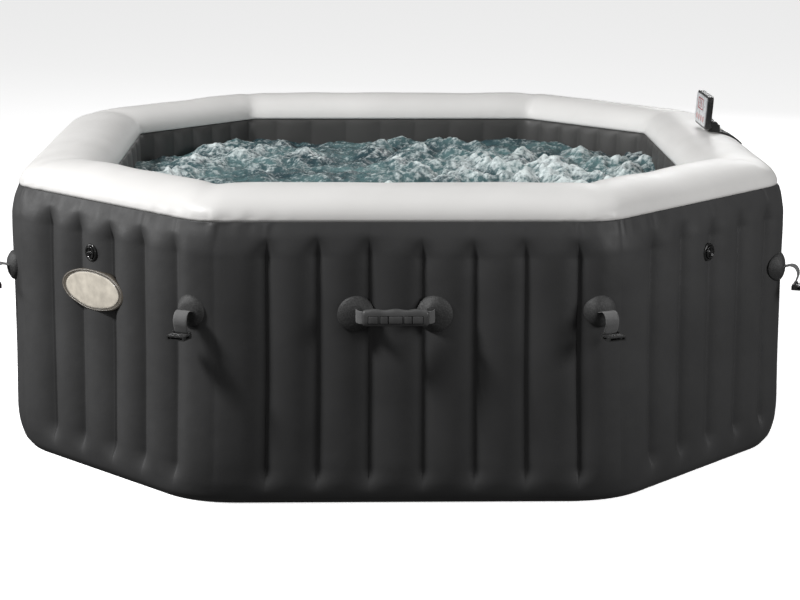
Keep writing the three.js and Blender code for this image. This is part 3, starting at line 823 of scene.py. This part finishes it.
def make_badge(wall):
    """A blank oval badge: a wide border, a raised line round it, coloured lighter as a painted highlight, and
    a plain field.
    """
    low, high = (Vector(corner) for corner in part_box("badge"))
    out = Vector((-1, -1, 0)).normalized()
    along = out.cross(Vector((0, 0, 1))) * -1
    place = frame_matrix((low + high) / 2, along, Vector((0, 0, 1)), out)
    radii = (0.118, 0.0495)
    flat = 0.8
    border = [(1, -0.0025, 0), (1, 0.0006, flat), (0.992, 0.0014, flat), (0.93, 0.0016, flat),
              (0.86, 0.0014, flat),
              (0.84, 0.0002, flat)]
    piece = draped(wall, "badge_border", place, radii, border, BADGE_EDGE, 120)
    finish_piece(piece, "tub", ["badge"])
    # raised rings whose lighter colour is a painted highlight
    for label, share in (("outer", 0.952), ("inner", 0.862)):
        line = [(share + wide, lift, flat) for wide, lift in
                ((0.007, 0.0008), (0.005, 0.0022), (0, 0.0026), (-0.005, 0.0022), (-0.007, 0.0008))]
        piece = draped(wall, f"badge_line_{label}", place, radii, line, LINE_HIGHLIGHT, 120)
        finish_piece(piece, "tub")
    field = [(0.858, 0.0001, flat), (0.855, 0.0018, flat), (0.845, 0.0022, flat)]
    field += [(share, 0.0022 + 0.0008 * (1 - share), flat) for share in np.linspace(0.8, 0.03, 12)]
    finish_piece(draped(wall, "badge_field", place, radii, field, CREAM, 120), "tub")


def threads(radius, low, high, pitch, depth):
    """A profile of rounded threads from low to high."""
    steps = int((high - low) / pitch) * 6
    places = np.linspace(low, high, steps)
    return [(radius + depth * math.sin(2 * math.pi * (z - low) / pitch), z) for z in places]


def make_water_port(number):
    place = spin_station(f"connector_plug_{number}_turn")
    profile = [(0, -0.004), (0.0402, -0.004), (0.0405, 0.0055), (0.0392, 0.0078), (0.0365, 0.0085),
               (0.0285, 0.0085),
               (0.0268, 0.0105)]
    profile += threads(0.0258, 0.012, 0.031, 0.0048, 0.0009)
    profile += [(0.0250, 0.0332), (0.0240, 0.034), (0.0205, 0.034), (0.0196, 0.0332), (0.0192, 0.0205),
                (0, 0.0203)]
    port = lathe(f"water_port_{number}", profile, place, FITTING)
    finish_piece(port, "tub", [f"water_connector_{number}"])
    profile = [(0, 0.021), (0.0180, 0.021), (0.0184, 0.0300), (0.0184, 0.0348), (0.0172, 0.036),
               (0.0060, 0.0362), (0, 0.0362)]
    plug = lathe(f"port_plug_{number}", profile, place, BLACK)
    finish_piece(plug, f"connector_plug_{number}", [f"connector_plug_{number}"])
    bar = blocks(f"port_plug_bar_{number}", place, [((-0.015, -0.003, 0.033), (0.015, 0.003, 0.042))],
                 BLACK, 0.0012)
    finish_piece(bar, f"connector_plug_{number}")
    bolts = []
    for turn in range(8):
        angle = math.radians(22.5 + 45 * turn)
        x, y = 0.0328 * math.cos(angle), 0.0328 * math.sin(angle)
        bolts.append(((x - 0.002, y - 0.002, 0.008), (x + 0.002, y + 0.002, 0.0102)))
    finish_piece(blocks(f"port_bolts_{number}", place, bolts, GRIP, 0.0008), "tub")


def make_air_port():
    low, high = (Vector(corner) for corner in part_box("air_connector"))
    middle = (low + high) / 2
    tip = high.x
    place = frame_matrix(Vector((tip - 0.040, middle.y, middle.z)), Vector((0, 1, 0)), Vector((0, 0, 1)),
                         Vector((1, 0, 0)))
    profile = [(0, -0.004), (0.0258, -0.004), (0.0260, 0.0052), (0.0248, 0.0070), (0.0172, 0.0072),
               (0.0152, 0.0095)]
    profile += threads(0.0146, 0.012, 0.036, 0.004, 0.0007)
    profile += [(0.0140, 0.0390), (0.0128, 0.040), (0.0095, 0.040), (0.0088, 0.039), (0.0088, 0.022),
                (0, 0.0218)]
    finish_piece(lathe("air_port", profile, place, FITTING), "tub", ["air_connector"])


def make_drain():
    place = spin_station("drain_turn")
    profile = [(0, -0.004), (0.0258, -0.004), (0.0260, 0.0050), (0.0248, 0.0066), (0.0205, 0.0070),
               (0.0200, 0.0064),
               (0, 0.0064)]
    finish_piece(lathe("drain_flange", profile, place, FITTING), "tub", ["drain_body"])
    profile = [(0, 0.0072), (0.0184, 0.0072), (0.0190, 0.0085), (0.0190, 0.0165), (0.0178, 0.0180),
               (0.0150, 0.0182),
               (0.0140, 0.0172), (0, 0.0172)]
    finish_piece(lathe("drain_lid", profile, place, BLACK), "drain_cap", ["drain_cap"])
    bars = [((-0.013, -0.0025, 0.0165), (0.013, 0.0025, 0.024))]
    for turn in range(16):
        angle = 2 * math.pi * turn / 16
        x, y = 0.0189 * math.cos(angle), 0.0189 * math.sin(angle)
        bars.append(((x - 0.0008, y - 0.0008, 0.0085), (x + 0.0008, y + 0.0008, 0.0165)))
    finish_piece(blocks("drain_grip", place, bars, BLACK, 0.0005), "drain_cap")


def make_panel():
    """The control panel keeps its CAD solids, softened; its display is drawn in relief."""
    for node, width in (("panel_cradle", 0.002), ("panel_case", 0.0045), ("panel_face", 0.0009)):
        repaint(frame["nodes"][node], SILVER if node == "panel_face" else BLACK)
        soften(frame["nodes"][node], width, 4, 50)
    for i in range(4):
        node = frame["nodes"][f"panel_button_{i + 1}"]
        repaint(node, PINK)
        soften(node, 0.0007, 3)
    axis = Vector(JOINTS["panel_button_1_press"]["axis"])
    out = -axis
    along = Vector((0, -1, 0))
    up = out.cross(along)
    low, high = (Vector(corner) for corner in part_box("panel_display"))
    place = frame_matrix((low + high) / 2, along, up, out)
    window = blocks("display_window", place, [((-0.039, -0.017, -0.0006), (0.039, 0.017, 0.0004))], SILVER,
                    0.0003)
    finish_piece(window, "panel", ["panel_display"])
    w, h, line, top = 0.0365, 0.0150, 0.0026, 0.0009
    edges = [((-w, h - line, 0), (w, h, top)), ((-w, -h, 0), (w, -h + line, top)),
             ((-w, -h, 0), (-w + line, h, top)), ((w - line, -h, 0), (w, h, top))]
    for digit, lit in ((-0.012, "abcdg"), (0.012, "abcdefg")):
        edges += segments_of(digit, lit, top)
    finish_piece(blocks("display_digits", place, edges, RED, 0.0002), "panel")


def segments_of(middle, lit, top):
    """The bars of a seven-segment figure, 9 by 18 mm."""
    a, b, line = 0.0045, 0.009, 0.0014
    bars = {
        "a": ((-a, b - line), (a, b)), "g": ((-a, -line / 2), (a, line / 2)), "d": ((-a, -b), (a, -b + line)),
        "f": ((-a, 0), (-a + line, b)), "b": ((a - line, 0), (a, b)),
        "e": ((-a, -b), (-a + line, 0)), "c": ((a - line, -b), (a, 0)),
    }
    return [((middle + bars[s][0][0], bars[s][0][1], 0), (middle + bars[s][1][0], bars[s][1][1], top))
            for s in lit]


def make_inside():
    """The parts under the water or inside the walls: their CAD solids, softened and painted."""
    repaint(frame["nodes"]["bubble_channel"], FITTING)
    repaint(frame["nodes"]["tension_beams"], BEAM)
    for number in (1, 2):
        node = frame["nodes"][f"strainer_{number}"]
        repaint(node, FITTING)
        soften(node, 0.0012, 3)


wall_piece = make_wall()
make_rim()
make_inner_wall()
make_floor()
make_water()
wall_surface = Wall(wall_piece)
for anchor in range(1, 9):
    make_anchor(wall_surface, anchor)
make_handle(wall_surface, "front_handle")
make_handle(wall_surface, "back_handle")
make_valve(wall_surface, "valve_left")
make_valve(wall_surface, "valve_right")
make_badge(wall_surface)
make_water_port(1)
make_water_port(2)
make_air_port()
make_drain()
make_panel()
make_inside()


# ---------------------------------------------------------------- stage, light and camera
def add_camera():
    """The eye stands in front of the tub, a little to its left, looking down by 13 degrees."""
    data = bpy.data.cameras.new("camera")
    data.sensor_width = 36
    data.lens = 89.06
    data.clip_end = 60
    camera = bpy.data.objects.new("camera", data)
    collection.objects.link(camera)
    yaw, pitch, roll = (math.radians(a) for a in (1.344, 13.088, 0.177))
    forward = Vector((math.sin(yaw) * math.cos(pitch), math.cos(yaw) * math.cos(pitch), -math.sin(pitch)))
    level = Vector((math.cos(yaw), -math.sin(yaw), 0))
    up = level.cross(forward)
    right = level * math.cos(roll) + up * math.sin(roll)
    top = up * math.cos(roll) - level * math.sin(roll)
    camera.matrix_world = frame_matrix(Vector((-0.114, -5.357, 1.509)), right, top, -forward)
    bpy.context.scene.camera = camera


def add_light(name, place, aim, size, power):
    data = bpy.data.lights.new(name, "AREA")
    data.shape = "RECTANGLE"
    data.size, data.size_y = size
    data.energy = power
    lamp = bpy.data.objects.new(name, data)
    lamp.visible_camera = False
    collection.objects.link(lamp)
    lamp.location = place
    lamp.rotation_euler = (Vector(aim) - Vector(place)).to_track_quat("-Z", "Y").to_euler()


def add_stage():
    """A glowing floor and backdrop that don't light the tub themselves, a dim world, and six area lamps."""
    floor_reach = 40
    backdrop_radius = 38
    paper_glow = 0.74
    world_light = 0.08
    bm = bmesh.new()
    bmesh.ops.create_grid(bm, x_segments=1, y_segments=1, size=floor_reach)
    paper = plastic("floor_paper", gray(0.9), 0.8, 0.0)
    glow = paper.node_tree.nodes["Principled BSDF"].inputs
    glow["Emission Color"].default_value = (1, 1, 1, 1)
    glow["Emission Strength"].default_value = paper_glow
    floor = add_object("floor", from_bmesh("floor", bm), paper, smooth=False)
    bm = bmesh.new()
    bmesh.ops.create_uvsphere(bm, u_segments=48, v_segments=24, radius=backdrop_radius)
    backdrop = add_object("backdrop", from_bmesh("backdrop", bm), paper)
    backdrop.visible_shadow = False
    for sheet in (floor, backdrop):
        sheet.visible_diffuse = False
        sheet.visible_glossy = False
    world = bpy.data.worlds.new("studio")
    bpy.context.scene.world = world
    world.use_nodes = True
    world.node_tree.nodes["Background"].inputs["Color"].default_value = (1, 1, 1, 1)
    world.node_tree.nodes["Background"].inputs["Strength"].default_value = world_light
    add_light("key", (-3.7, -1.9, 4.1), (0, 0, 0.4), (0.8, 0.8), 250)
    add_light("left", (-5.3, 0.2, 1.6), (0, 0, 0.4), (1.5, 1.2), 70)
    add_light("front", (-2.6, -5.0, 1.6), (0, 0, 0.4), (1.2, 1.2), 14)
    add_light("right", (2.3, -1.9, 1.3), (0.7, -0.7, 0.4), (1.1, 0.7), 27)
    add_light("back", (2.4, 4.6, 2.6), (0, 0, 0.4), (2.5, 1.5), 60)
    add_light("top", (0, 0.6, 5.2), (0, 0, 0), (4, 4), 30)
    bpy.context.scene.view_settings.view_transform = "Standard"


add_stage()
add_camera()
